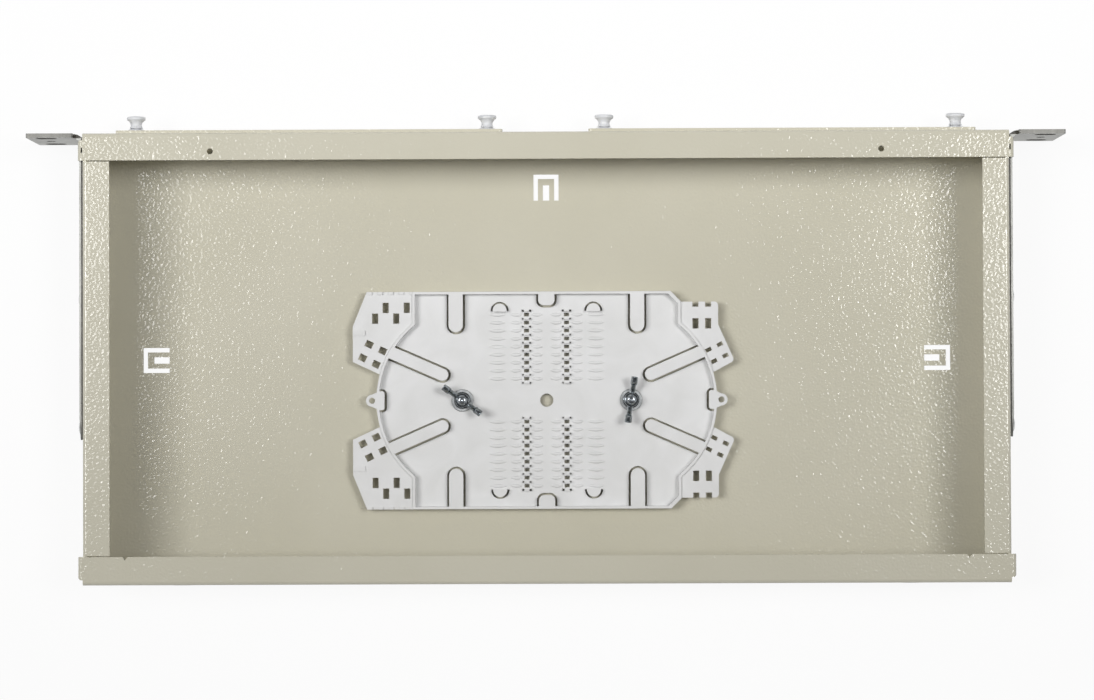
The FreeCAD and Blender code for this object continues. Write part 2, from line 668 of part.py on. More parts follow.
def tray_outline(inset):
    """Face of the tray's basin, drawn in by an inset, with its middle at the origin."""
    depth = TRAY_HALF_DEPTH - inset
    shoulder = TRAY_SHOULDER - inset
    radius = TRAY_END_RADIUS - inset
    meet = math.sqrt(radius ** 2 - (shoulder - TRAY_END_CENTRE) ** 2)
    end = TRAY_END_CENTRE + radius
    cut = TRAY_SHOULDER_CHAMFER
    back_run = [(-shoulder, meet), (-shoulder, depth - cut), (cut - shoulder, depth),
                (shoulder, depth), (shoulder, meet)]
    front_run = [(x, -y) for x, y in reversed(back_run)]
    edges = []
    for run, bulge in ((back_run, end), (front_run, -end)):
        corners = [V(x, y, 0) for x, y in run]
        edges += Part.makePolygon(corners).Edges
        finish = V(corners[-1].x, -corners[-1].y, 0)
        edges.append(Part.Arc(corners[-1], V(bulge, 0, 0), finish).toShape())
    return Part.Face(Part.Wire(edges))


def raised(face, z0, z1):
    """A face of the tray plan drawn up between two heights."""
    solid = face.extrude(V(0, 0, z1 - z0))
    solid.translate(V(0, 0, z0))
    return solid


def both_rows(shape):
    """A piece of the tray's front half and its mirror image in the back half."""
    return [shape, mirror_y(shape)]


def four_ways(shape):
    """A piece of one quarter of the tray, repeated in the other three."""
    return both_rows(shape) + both_rows(mirror_x(shape))


def tongue_shapes(margin, z0, z1):
    """The tray's tongues, or with a margin the openings in the floor below them."""
    edge = TRAY_HALF_DEPTH
    half = LONG_TONGUE_WIDTH / 2
    long_tongue = stadium(LONG_TONGUE_PLACE, LONG_TONGUE_REACH - half - edge, 2 * (half + margin),
                          LONG_TONGUE_REACH - half, -90, z0, z1)
    short_half = SHORT_TONGUE_WIDTH / 2 + margin
    short_tongue = box(-short_half, short_half, -edge, SHORT_TONGUE_REACH - edge + margin, z0, z1)
    corners = [line for line in edges_along(short_tongue, V(0, 0, 1))
               if line.CenterOfMass.y > NEAR - edge]
    corner = min(SHORT_TONGUE_CORNER + margin, SHORT_TONGUE_REACH / 2)
    short_tongue = short_tongue.makeFillet(corner, corners)
    slant_tongue = stadium(SLANT_TONGUE_END_X, -SLANT_TONGUE_END_Y, SLANT_TONGUE_WIDTH + 2 * margin,
                           TRAY_END_RADIUS, -SLANT_TONGUE_ANGLE, z0, z1)
    return four_ways(long_tongue) + both_rows(short_tongue) + four_ways(slant_tongue)


def half_tongue(margin, z0, z1):
    """A half-round tongue at the outer end of a comb, or the opening below it."""
    radius = HALF_TONGUE_RADIUS + margin
    place = V(HALF_TONGUE_PLACE, comb_rows()[-1], z0)
    disc = rod(2 * radius, z1 - z0, place)
    return disc.common(box(place.x - radius, place.x + radius, place.y - radius, place.y, z0, z1))


def entry_wing():
    """The wide wing on the +X side, in front, with its rim, nub and tie holes."""
    low = WING_LEVEL
    high = low + WING_THICKNESS
    edge = TRAY_HALF_DEPTH
    root_y = ENTRY_WING_ROOT_Y
    inner = TRAY_END_CENTRE
    outline = [(inner, -edge), (ENTRY_WING_TOP, -edge), (ENTRY_WING_END, -ENTRY_WING_SHOULDER),
               (ENTRY_WING_END, -ENTRY_WING_FOOT), (ENTRY_WING_ROOT_X, -root_y), (inner, -root_y)]
    wing = prism(outline, low, high)
    rim = box(TRAY_SHOULDER, ENTRY_WING_TOP, -edge, WING_RIM_WIDTH - edge, low, high + WING_RIM_HEIGHT)
    nub = box(ENTRY_WING_END - NUB_LENGTH, ENTRY_WING_END, -NUB_PLACE, NUB_WIDTH - NUB_PLACE,
              low, high + NUB_HEIGHT)
    cutters = []
    for index in range(TIE_HOLE_COUNT):
        x = TIE_HOLE_FIRST + index * TIE_HOLE_PITCH
        row = TIE_HOLE_INNER_ROW if index % 2 else TIE_HOLE_OUTER_ROW
        cutters.append(turned_hole(x, -row, TIE_HOLE_WIDTH, TIE_HOLE_LENGTH, 0, low, high))
        cutters.append(turned_hole(x, -edge, TIE_HOLE_WIDTH, 2 * WING_RIM_WIDTH, 0,
                                   high, high + WING_RIM_HEIGHT))
    cutters += tube_holes(TUBE_HOLE_MIDDLE_X, -TUBE_HOLE_MIDDLE_Y, TUBE_HOLE_WIDTH, TUBE_HOLE_LENGTH,
                          TUBE_HOLE_PITCH)
    return wing.multiFuse([rim, nub]).cut(cutters)


def tube_holes(x, y, width, length, pitch):
    """Four slanted holes in a square round a middle, in a front wing on the +X side."""
    turn = math.radians(TUBE_HOLE_ANGLE)
    along = V(math.cos(turn), -math.sin(turn), 0) * (pitch / 2)
    across = V(math.sin(turn), math.cos(turn), 0) * (pitch / 2)
    holes = []
    for step_along in (-1, 1):
        for step_across in (-1, 1):
            place = V(x, y, 0) + along * step_along + across * step_across
            holes.append(turned_hole(place.x, place.y, length, width, -TUBE_HOLE_ANGLE,
                                     WING_LEVEL, WING_LEVEL + WING_THICKNESS))
    return holes


def exit_wing():
    """The narrow wing, drawn on the +X side in front and mirrored where it is used."""
    low = WING_LEVEL
    high = low + WING_THICKNESS
    root_y = EXIT_WING_ROOT_Y
    inner = TRAY_END_CENTRE
    outline = [(inner, -EXIT_WING_TOP), (EXIT_WING_SIDE, -EXIT_WING_TOP),
               (EXIT_WING_SIDE, -EXIT_WING_SHOULDER), (EXIT_WING_END, -EXIT_WING_FOOT),
               (EXIT_WING_ROOT_X, -root_y), (inner, -root_y)]
    wing = prism(outline, low, high)
    round_corners = (V(EXIT_WING_SIDE, -EXIT_WING_TOP, 0), V(EXIT_WING_END, -EXIT_WING_FOOT, 0))
    rounded = [line for line in edges_along(wing, V(0, 0, 1))
               if any(line.Vertexes[0].Point.isEqual(corner + V(0, 0, line.Vertexes[0].Z), NEAR)
                      for corner in round_corners)]
    wing = wing.makeFillet(EXIT_WING_CORNER, rounded)
    cutters = []
    for x in (EXIT_HOLE_FIRST, EXIT_HOLE_FIRST + EXIT_HOLE_PITCH):
        for y, length in ((-EXIT_HOLE_ROW, TIE_HOLE_LENGTH), (-EXIT_WING_TOP, 2 * EXIT_NOTCH_DEPTH)):
            cutters.append(turned_hole(x, y, TIE_HOLE_WIDTH, length, 0, low, high))
    cutters += tube_holes(EXIT_TUBE_HOLE_MIDDLE_X, -EXIT_TUBE_HOLE_MIDDLE_Y, EXIT_TUBE_HOLE_WIDTH,
                          EXIT_TUBE_HOLE_LENGTH, EXIT_TUBE_HOLE_PITCH)
    return wing.cut(cutters)


def lug_plate(margin, z0, z1):
    """The part of an end lug inside the tray's wall, or with a margin the opening below it."""
    wall = TRAY_END_CENTRE + TRAY_END_RADIUS - TRAY_WALL
    half = LUG_HALF_WIDTH + margin
    inner = wall - LUG_INSIDE - margin
    plate = box(inner, wall + TRAY_WALL / 2, -half, half, z0, z1)
    corners = [line for line in edges_along(plate, V(0, 0, 1)) if line.CenterOfMass.x < inner + NEAR]
    return plate.makeFillet(LUG_CORNER + margin, corners)


def end_lug():
    """A pierced lug at the top of the tray's +X end wall."""
    low = TRAY_HEIGHT - TONGUE_THICKNESS
    wall = TRAY_END_CENTRE + TRAY_END_RADIUS - TRAY_WALL
    eye = V(LUG_HOLE_PLACE, 0, low)
    half = LUG_HALF_WIDTH
    end = LUG_END_RADIUS
    plate = lug_plate(0, low, TRAY_HEIGHT)
    ear = prism([(wall, -half), (eye.x, -end), (eye.x, end), (wall, half)], low, TRAY_HEIGHT)
    lug = plate.multiFuse([ear, rod(2 * end, TONGUE_THICKNESS, eye)])
    return lug.cut(rod(LUG_HOLE_DIAMETER, TONGUE_THICKNESS, eye))


def comb_rows():
    """Where the snap posts of the front comb stand, from the tray's middle outwards."""
    return [-(COMB_FIRST_ROW + index * COMB_PITCH) for index in range(COMB_ROW_COUNT)]


def finger_rows():
    """Rows midway between those of the snap posts."""
    return [y - COMB_PITCH / 2 for y in comb_rows()[:-1]]


def finger(x, y, length):
    """A finger with a lens-shaped plan, pointed at both ends along X, and a round back."""
    half = FINGER_THICKNESS / 2
    radius = ((length / 2) ** 2 + half ** 2) / (2 * half)
    flanks = [rod(2 * radius, FINGER_RISE, V(x, y + way * (radius - half), FLOOR_TOP)) for way in (-1, 1)]
    top = FLOOR_TOP + FINGER_RISE
    start = V(x - length / 2, y, top)
    finish = V(x + length / 2, y, top)
    flank = Part.Arc(start, V(x, y + half, top), finish).toShape()
    side = Part.Face(Part.Wire([flank, Part.LineSegment(finish, start).toShape()]))
    back = side.revolve(V(x, y, top), V(1, 0, 0), 180)
    return flanks[0].common(flanks[1]).fuse(back)


def bar(x, y, width):
    """A thin upright bar on the tray floor, as high as the combs."""
    return box(x - width / 2, x + width / 2, y - POST_THICKNESS / 2, y + POST_THICKNESS / 2,
               TRAY_LIFT, COMB_TOP)


def comb_pieces():
    """Fingers, snap posts and the bar that carries the half-round tongue, in one quarter of the combs."""
    beside = POST_WIDTH / 2 + POST_GAP + INNER_FINGER_LENGTH / 2
    pieces = []
    for y in finger_rows():
        pieces.append(finger(INNER_COLUMN - beside, y, INNER_FINGER_LENGTH))
        pieces.append(finger(INNER_COLUMN + beside, y, INNER_FINGER_LENGTH))
        pieces.append(finger(OUTER_COLUMN, y, OUTER_FINGER_LENGTH))
    for y in comb_rows():
        pieces.append(bar(INNER_COLUMN, y, POST_WIDTH))
    pieces.append(bar(HALF_TONGUE_PLACE, comb_rows()[-1], 2 * HALF_TONGUE_RADIUS))
    return pieces


def comb_holes():
    """Openings beside each snap post and between the posts, in one quarter of the combs."""
    holes = []
    for y in comb_rows():
        for gap in (-1, 1):
            x = INNER_COLUMN + gap * (POST_WIDTH + POST_GAP) / 2
            holes.append(turned_hole(x, y, SNAP_HOLE, SNAP_HOLE, 0, TRAY_LIFT, FLOOR_TOP))
    for y in finger_rows():
        holes.append(turned_hole(INNER_COLUMN, y, COMB_HOLE_WIDTH, COMB_HOLE_LENGTH, 0,
                                 TRAY_LIFT, FLOOR_TOP))
    return holes


def tray_openings():
    """Cutters of everything that goes through the tray's floor."""
    basin = raised(tray_outline(TRAY_WALL), TRAY_LIFT, FLOOR_TOP)
    below = lug_plate(SLIT, TRAY_LIFT, FLOOR_TOP)
    tongues = tongue_shapes(SLIT, TRAY_LIFT, FLOOR_TOP) + [below, mirror_x(below)]
    cutters = [tongue.common(basin) for tongue in tongues]
    cutters += four_ways(half_tongue(SLIT, TRAY_LIFT, FLOOR_TOP))
    for hole in comb_holes():
        cutters += four_ways(hole)
    for _, side in SIDES:
        cutters.append(rod(TRAY_STUD_HOLE, FLOOR_TOP, V(side * STUD_SPACING / 2, 0, 0)))
    cutters.append(rod(TRAY_CENTRE_HOLE, TRAY_FLOOR, V(0, 0, TRAY_LIFT)))
    return cutters


def tray_basin():
    """Outer wall and lifted floor, with a boss round each stud that stands on the case."""
    inside = tray_outline(TRAY_WALL)
    shell = raised(tray_outline(0), 0, TRAY_HEIGHT)
    shell = shell.cut([raised(inside, 0, TRAY_LIFT), raised(inside, FLOOR_TOP, TRAY_HEIGHT)])
    bosses = [rod(TRAY_BOSS, FLOOR_TOP, V(side * STUD_SPACING / 2, 0, 0)) for _, side in SIDES]
    return shell.multiFuse(bosses).cut(tray_openings())


def splice_tray():
    """The whole moulding: basin, wings, lugs, tongues and combs."""
    top = TRAY_HEIGHT
    block = raised(tray_outline(0), 0, top)
    added = [tongue.common(block) for tongue in tongue_shapes(0, top - TONGUE_THICKNESS, top)]
    added += four_ways(half_tongue(0, COMB_TOP - TONGUE_THICKNESS, COMB_TOP))
    added += [wing.cut(block) for wing in both_rows(entry_wing()) + both_rows(mirror_x(exit_wing()))]
    added += [end_lug(), mirror_x(end_lug())]
    for piece in comb_pieces():
        added += four_ways(piece)
    moulding = tray_basin().multiFuse(added)
    moulding.translate(TRAY_MIDDLE + V(0, 0, TRAY_BASE))
    return moulding


def tray_stud(side):
    """A press-in stud with its head flush in the underside of the floor."""
    radius = STUD_DIAMETER / 2
    head = STUD_HEAD_DIAMETER / 2
    stud = spun([
        (0, 0), (head, 0), (head, STUD_HEAD_THICKNESS), (radius, STUD_HEAD_THICKNESS),
        (radius, STUD_LENGTH - STUD_CHAMFER), (radius - STUD_CHAMFER, STUD_LENGTH),
        (0, STUD_LENGTH), (0, 0),
    ])
    stud.translate(stud_axis(side))
    return stud


def tray_washer(side):
    base = stud_axis(side) + V(0, 0, STUD_SEAT)
    return rod(WASHER_DIAMETER, WASHER_THICKNESS, base).cut(rod(WASHER_HOLE, WASHER_THICKNESS, base))


def nut_wing():
    """One wing of the nut: a blade that rises from the hub to a thick round lobe."""
    lobe_x = WING_SPAN / 2 - WING_LOBE_RADIUS
    root = NUT_TOP / 2 - WING_BLADE / 2
    slope = WING_LOBE_RADIUS * math.sqrt(0.5)
    blade_points = [(root, WING_ROOT_LOW), (NUT_BASE / 2, WING_ROOT_LOW),
                    (lobe_x + slope, WING_RISE - slope), (lobe_x - slope, WING_RISE + slope),
                    (root, WING_ROOT_HIGH)]
    corners = [V(x, -WING_BLADE / 2, z) for x, z in blade_points]
    blade = Part.Face(Part.makePolygon(corners + corners[:1])).extrude(V(0, WING_BLADE, 0))
    lobe = rod(2 * WING_LOBE_RADIUS, WING_LOBE, V(lobe_x, -WING_LOBE / 2, WING_RISE), V(0, 1, 0))
    rims = [edge for edge in lobe.Edges if isinstance(edge.Curve, Part.Circle)]
    return blade.fuse(lobe.makeFillet((WING_LOBE - WING_BLADE) / 2, rims))


def wing_nut(side, turn):
    hub = Part.makeCone(NUT_BASE / 2, NUT_TOP / 2, NUT_HUB_HEIGHT)
    bore = rod(STUD_DIAMETER + 2 * NUT_FIT, NUT_HUB_HEIGHT, V(0, 0, 0))
    wing = nut_wing()
    nut = hub.multiFuse([wing, mirror_x(wing)]).cut(bore)
    nut.rotate(V(0, 0, 0), V(0, 0, 1), turn)
    nut.translate(stud_axis(side) + V(0, 0, NUT_SEAT))
    return nut


def all_pieces():
    """Every piece of the box under its own name."""
    pieces = {"case": case(), "splice_tray": splice_tray()}
    for name, side in SIDES:
        pieces[name + "_rack_ear"] = rack_ear(side)
        pieces[name + "_adapter_plate"] = adapter_plate(side)
        pieces[name + "_cable_grommet"] = cable_grommet(side)
        pieces[name + "_tray_stud"] = tray_stud(side)
        pieces[name + "_tray_washer"] = tray_washer(side)
        for place, y in zip(("front", "rear"), ear_screw_places()):
            pieces[name + "_ear_screw_" + place] = ear_screw(side, y)
            pieces[name + "_ear_nut_" + place] = clinch_nut(side, y)
    pieces["left_wing_nut"] = wing_nut(-1, LEFT_NUT_TURN)
    pieces["right_wing_nut"] = wing_nut(1, RIGHT_NUT_TURN)
    for number, x in enumerate(latch_places(), 1):
        pieces["latch_grommet_%d" % number] = latch_grommet(x)
        pieces["latch_plunger_%d" % number] = latch_plunger(x)
    return pieces


os.makedirs("parts", exist_ok=True)
for node, shape in all_pieces().items():
    shape.exportStep("parts/" + node + ".step")
    print(node, "valid" if shape.isValid() else "NOT VALID", len(shape.Solids), round(shape.Volume, 1))
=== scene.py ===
import json
import math

import bmesh
import bpy
from mathutils import Matrix, Vector


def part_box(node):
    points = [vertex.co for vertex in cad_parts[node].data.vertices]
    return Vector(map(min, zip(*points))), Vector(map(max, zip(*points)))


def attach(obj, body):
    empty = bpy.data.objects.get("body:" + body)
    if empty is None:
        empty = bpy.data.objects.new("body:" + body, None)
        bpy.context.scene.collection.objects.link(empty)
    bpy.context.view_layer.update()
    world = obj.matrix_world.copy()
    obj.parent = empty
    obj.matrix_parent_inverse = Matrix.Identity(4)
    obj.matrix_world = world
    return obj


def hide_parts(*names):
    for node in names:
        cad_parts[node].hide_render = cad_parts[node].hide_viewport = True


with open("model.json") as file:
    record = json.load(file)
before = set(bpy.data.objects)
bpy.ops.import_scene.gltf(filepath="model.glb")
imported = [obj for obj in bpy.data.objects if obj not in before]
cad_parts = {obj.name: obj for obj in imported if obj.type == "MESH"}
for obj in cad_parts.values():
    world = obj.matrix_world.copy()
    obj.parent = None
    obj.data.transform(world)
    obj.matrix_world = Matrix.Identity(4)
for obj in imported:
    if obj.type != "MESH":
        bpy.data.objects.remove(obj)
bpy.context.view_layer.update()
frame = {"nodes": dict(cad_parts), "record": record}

# Open rack box for fibre cables, seen from above, with its splice tray held by two wing nuts.
# Metres, +Z up, front towards -Y. Lengths of the box are given in millimetres and are scaled by MM.
MM = 0.001
SIDES = ("left", "right")
PLACES = ("front", "rear")
LATCHES = (1, 2, 3, 4)
RECORD = frame["record"]
BODY_OF = {node: body for body, nodes in RECORD["behaviour"]["bodies"].items() for node in nodes}

# View from above the open top, the front edge at the top of the picture
PICTURE_WIDTH = 1094
FOCAL_PIXELS = 3455.0
SENSOR = 36.0
EYE = Vector((-8.8, 29.0, 1644.0)) * MM
AIM = Vector((-0.4, -3.4, 44.0)) * MM
ROLL = math.radians(-0.22)
VIEW_REACH = 20.0

# Studio in metres and watts: a pale floor with a low wall all round, a dim white world, and two lamps that are
# named by their side of the picture
FLOOR_WIDTH = 12.0
WALL_HEIGHT = 3.0
FLOOR_WHITE = (0.9, 0.9, 0.9, 1)
FLOOR_ROUGHNESS = 0.9
FLOOR_GLOW = 0.91
WORLD_WHITE = (1, 1, 1, 1)
WORLD_STRENGTH = 0.14
BEAM = math.radians(60.0)
LAMP_DEPTH = 0.95
LAMPS = {
    "left_lamp": {"place": (1.34, -0.37, 2.5), "aim": (0.0, -0.8, 0.0), "width": 1.4, "power": 8.7},
    "right_lamp": {"place": (-1.13, -0.37, 2.5), "aim": (-0.05, -0.8, 0.0), "width": 0.9, "power": 6.0},
}

# Corners nearer than MERGE are one. By these angles faces count as flat, edges as sharp and surfaces as
# smooth.
MERGE = 0.002 * MM
FLAT = math.radians(0.5)
SHARP = math.radians(40.0)
SMOOTH = math.radians(32.0)

# Rounding of coated, moulded and sheared edges, and the facets around turned pieces
COAT_EDGE = 0.22
MOULDED_EDGE = 0.22
SHEARED_EDGE = 0.14
EDGE_STEPS = 2
AROUND = 48
FINE_AROUND = 64

# Darkened metal of the rack ears, partly torn metal and partly painted shade: the inner part of the leg's sheet,
# the walls of the slots between the two faces of the flange and clear of its ends, and a share of it along the
# upper edge
TORN_AND_SHADED_LEG = 1.1
TORN_AND_SHADED_SLOT = (0.3, 1.9)
TORN_AND_SHADED_CLEAR = 1.5
TORN_AND_SHADED_RIM = 0.3
TORN_AND_SHADED_RIM_SHARE = 0.45
MARGIN = 0.1
ROLLING_LINES = (1, 0.04, 1)

# Comb fingers of the splice tray: how far the combs reach from its middle, where the fingers start and end above
# its floor, and the share of their height that is left
COMB_REACH = 28.0
COMB_DEPTH = 41.8
FINGER_FOOT = 0.05
FINGER_TOP = 1.9
FINGER_SHARE = 0.5
FINGER_SMOOTH = math.radians(60.0)

# Slits of the splice tray: how far the painted shade in them reaches from its middle, in from its long sides and
# below its floor's face, the draft that widens them on each side, and the most that their walls lean
SLIT_REACH = 62.0
SLIT_INSET = 2.0
SLIT_EDGE = 0.2
SLIT_DRAFT = 0.13
UPRIGHT = 0.05

# Push-pull latches as (radius, height out of the plate) pairs, and the cuts between the collar's legs
PLUNGER_PROFILE = [
    (0.5, -9.2), (1.3, -8.9), (1.8, -8.3), (2.0, -7.4), (2.0, 2.3), (2.9, 2.3), (3.05, 2.42), (2.95, 2.75),
    (2.72, 3.2), (2.6, 3.7), (2.62, 4.2), (2.78, 4.75), (3.1, 5.3), (3.55, 5.8), (4.0, 6.14), (4.3, 6.34),
    (4.4, 6.6), (4.4, 7.2), (4.32, 7.5), (4.1, 7.72), (3.6, 7.84), (2.0, 7.9), (0.6, 7.9),
]
COLLAR_PROFILE = [
    (2.06, 1.95), (2.5, 2.0), (3.2, 1.9), (3.85, 1.58), (4.4, 1.1), (4.8, 0.58), (4.98, 0.14), (4.98, 0.0),
    (3.2, 0.0), (3.2, -2.8), (3.8, -2.8), (3.8, -3.3), (3.2, -7.3), (2.06, -7.3), (2.06, 1.95),
]
LEG_CUT_WIDTH = 0.8
LEG_CUT_SPAN = 12.0
LEG_CUT_LENGTH = 4.5
LEG_CUT_END = -7.4

# Wing nuts: the hub's profile, the wing as (reach, height, width, depth) stations, and how far the two nuts are
# turned, in degrees
HUB_PROFILE = [
    (2.56, 0.1), (2.75, 0.0), (3.85, 0.0), (4.0, 0.12), (4.0, 0.45), (3.88, 0.56), (3.5, 0.7), (3.4, 0.95),
    (3.38, 3.2), (3.34, 4.5), (3.24, 4.75), (2.98, 4.9), (2.7, 5.0), (2.56, 4.9), (2.56, 0.1),
]
WING_ROOT = 0.6
WING_STATIONS = [
    (2.9, 2.5, 2.7, 3.6), (4.8, 3.2, 2.6, 3.4), (6.3, 4.7, 2.6, 3.1), (6.9, 5.3, 2.6, 3.0),
    (7.05, 5.5, 3.5, 3.6), (7.5, 6.0, 3.6, 4.1), (10.4, 7.3, 3.6, 4.1), (10.8, 7.4, 3.5, 3.9),
]
WING_LEVELS = 3
NUT_TURNS = (81.0, 144.0)

# Tray studs: head, thread and a tip with a dimple, the tip as (radius, depth below the end) pairs
STUD_RADIUS = 2.5
STUD_FOOT = 1.0
STUD_HEAD = 0.7
STUD_HEAD_EDGE = 0.15
STUD_TIP = [(2.14, 0.75), (1.84, 0.3), (1.55, 0.08), (1.35, 0.0), (0.8, 0.0), (0.62, 0.25), (0.3, 0.4)]
THREAD_PITCH = 0.8
THREAD_DEPTH = 0.36
THREAD_HALF = 0.45 * THREAD_PITCH
THREAD_OVERLAP = 0.2
THREAD_START = 2.4
THREAD_SHORT = 3.6
THREAD_STEPS = 36

# Tray washers, ear screws with their cross recess, press nuts and the rubber rings of the cable entries
WASHER_BORE = 2.65
WASHER_EDGE = 0.15
SCREW_PROFILE = [
    (0.8, -6.6), (1.6, -6.6), (2.0, -6.2), (2.0, 0.0), (3.85, 0.0), (4.0, 0.15), (4.0, 0.75), (3.9, 1.2),
    (3.6, 1.65), (3.0, 2.1), (2.2, 2.42), (1.2, 2.56), (0.4, 2.6),
]
RECESS_ARM = 2.2
RECESS_WIDTH = 0.95
RECESS_DEPTH = 1.5
RECESS_RISE = 0.1
PRESS_NUT_PROFILE = [
    (2.05, 0.1), (2.2, 0.0), (3.7, 0.0), (4.0, 0.3), (4.0, 2.6), (2.05, 2.6), (2.05, 0.1),
]
RUBBER_PROFILE = [
    (6.0, -1.9), (6.3, -2.3), (6.8, -2.4), (11.6, -2.4), (12.3, -2.2), (12.65, -1.75), (12.65, -1.2),
    (10.15, -1.2), (10.15, 0.0), (12.65, 0.0), (12.6, 0.2), (12.4, 0.38), (12.0, 0.45), (6.6, 0.45),
    (6.2, 0.35), (6.0, 0.1), (6.0, -1.9),
]


def activate(piece):
    """Makes one piece the only selected and the active one."""
    bpy.ops.object.select_all(action="DESELECT")
    piece.select_set(True)
    bpy.context.view_layer.objects.active = piece


def named(name):
    """Names the object that was just added or joined."""
    piece = bpy.context.object
    piece.name = name
    piece.data.name = name
    return piece


def modify(piece, kind, **settings):
    """Adds a modifier with its settings and applies it."""
    activate(piece)
    modifier = piece.modifiers.new(kind.lower(), kind)
    for setting, value in settings.items():
        setattr(modifier, setting, value)
    bpy.ops.object.modifier_apply(modifier=modifier.name)


def seated(piece, place=(0, 0, 0), turn=(0, 0, 0)):
    """Turns a piece and sets it at its place, which is kept in its mesh."""
    activate(piece)
    piece.rotation_euler = turn
    piece.location = place
    bpy.ops.object.transform_apply(location=True, rotation=True, scale=True)
    return piece


def copied(pattern, name, place, turn=(0, 0, 0)):
    """A copy of a pattern with a mesh of its own, seated at its place."""
    piece = bpy.data.objects.new(name, pattern.data.copy())
    bpy.context.collection.objects.link(piece)
    return seated(piece, place, turn)


def smooth(piece, angle=SMOOTH):
    """Shades a piece smooth up to an angle between its faces."""
    activate(piece)
    bpy.ops.object.shade_smooth_by_angle(angle=angle)


def joined(pieces, name):
    """Several shells of one piece as one object."""
    activate(pieces[0])
    for piece in pieces[1:]:
        piece.select_set(True)
    bpy.ops.object.join()
    return named(name)


def combined(piece, others, operation):
    """Cuts other shells out of a piece or unites them with it, and clears them away."""
    for other in others:
        modify(piece, "BOOLEAN", object=other, operation=operation, solver="EXACT")
        bpy.data.objects.remove(other)


def block(name, size, place):
    """A block with its size in millimetres."""
    bpy.ops.object.select_all(action="DESELECT")
    bpy.ops.mesh.primitive_cube_add(size=MM, location=place)
    piece = named(name)
    piece.scale = size
    bpy.ops.object.transform_apply(location=True, rotation=True, scale=True)
    return piece


def crossed_cut(piece, length, width, depth, height):
    """Cuts two crossed grooves into a piece, their middle at a height in millimetres."""
    place = (0, 0, height * MM)
    combined(piece, [block("groove", (length, width, depth), place),
                     block("groove", (width, length, depth), place)], "DIFFERENCE")


def close_shell():
    """In edit mode, merges a shell's corners, fills its ends and turns its faces outwards, then leaves it."""
    bpy.ops.mesh.select_all(action="SELECT")
    bpy.ops.mesh.remove_doubles(threshold=MERGE)
    bpy.ops.mesh.fill_holes(sides=0)
    bpy.ops.mesh.select_all(action="SELECT")
    bpy.ops.mesh.normals_make_consistent(inside=False)
    bpy.ops.object.mode_set(mode="OBJECT")


def turned(name, profile, around=AROUND):
    """A piece turned about Z: a circle drawn out ring by ring through (radius, height) pairs."""
    bpy.ops.object.select_all(action="DESELECT")
    radius, height = profile[0]
    bpy.ops.mesh.primitive_circle_add(vertices=around, radius=radius * MM, location=(0, 0, height * MM))
    piece = named(name)
    bpy.ops.object.transform_apply(location=True)
    bpy.ops.object.mode_set(mode="EDIT")
    bpy.ops.mesh.select_mode(type="VERT")
    bpy.ops.mesh.select_all(action="SELECT")
    for next_radius, next_height in profile[1:]:
        rise = (0, 0, (next_height - height) * MM)
        bpy.ops.mesh.extrude_region_move(TRANSFORM_OT_translate={"value": rise})
        grow = next_radius / radius
        bpy.ops.transform.resize(value=(grow, grow, 1), center_override=(0, 0, next_height * MM))
        radius, height = next_radius, next_height
    close_shell()
    return piece


def merged_copy(node, name):
    """A copy of a solid whose facets share their corners."""
    piece = bpy.data.objects.new(name, frame["nodes"][node].data.copy())
    bpy.context.collection.objects.link(piece)
    activate(piece)
    bpy.ops.mesh.customdata_custom_splitnormals_clear()
    bpy.ops.object.mode_set(mode="EDIT")
    bpy.ops.mesh.select_mode(type="VERT")
    bpy.ops.mesh.select_all(action="SELECT")
    bpy.ops.mesh.remove_doubles(threshold=MERGE)
    bpy.ops.object.mode_set(mode="OBJECT")
    return piece


def softened(node, name, edge):
    """A copy of a solid with its edges rounded."""
    piece = merged_copy(node, name)
    bpy.ops.object.mode_set(mode="EDIT")
    bpy.ops.mesh.select_all(action="SELECT")
    bpy.ops.mesh.tris_convert_to_quads(face_threshold=FLAT, shape_threshold=math.pi)
    bpy.ops.object.mode_set(mode="OBJECT")
    modify(piece, "BEVEL", width=edge * MM, segments=EDGE_STEPS, limit_method="ANGLE", angle_limit=SHARP,
           use_clamp_overlap=True)
    smooth(piece)
    modify(piece, "WEIGHTED_NORMAL", keep_sharp=True)
    return piece


def pick(piece, mode, wanted):
    """In edit mode, selects just the corners, edges or faces that are wanted."""
    bpy.ops.mesh.select_all(action="DESELECT")
    bpy.ops.mesh.select_mode(type=mode)
    mesh = bmesh.from_edit_mesh(piece.data)
    for element in {"VERT": mesh.verts, "EDGE": mesh.edges, "FACE": mesh.faces}[mode]:
        element.select = wanted(element)
    if mode == "VERT":
        mesh.select_flush(True)
    bmesh.update_edit_mesh(piece.data)


def dressed(piece, node, material):
    """Gives a piece its finish and lets it stand for its solid."""
    piece.data.materials.clear()
    piece.data.materials.append(material)
    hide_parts(node)
    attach(piece, BODY_OF[node])


def smooth_and_dressed(piece, node, material):
    """Shades a turned or cast piece smooth before it is dressed."""
    smooth(piece)
    dressed(piece, node, material)


def middle(node):
    """The middle of a solid's box."""
    low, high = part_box(node)
    return (low + high) / 2


def tray_floor():
    """The height of the splice tray's floor, on which its washers lie."""
    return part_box("left_tray_washer")[0].z


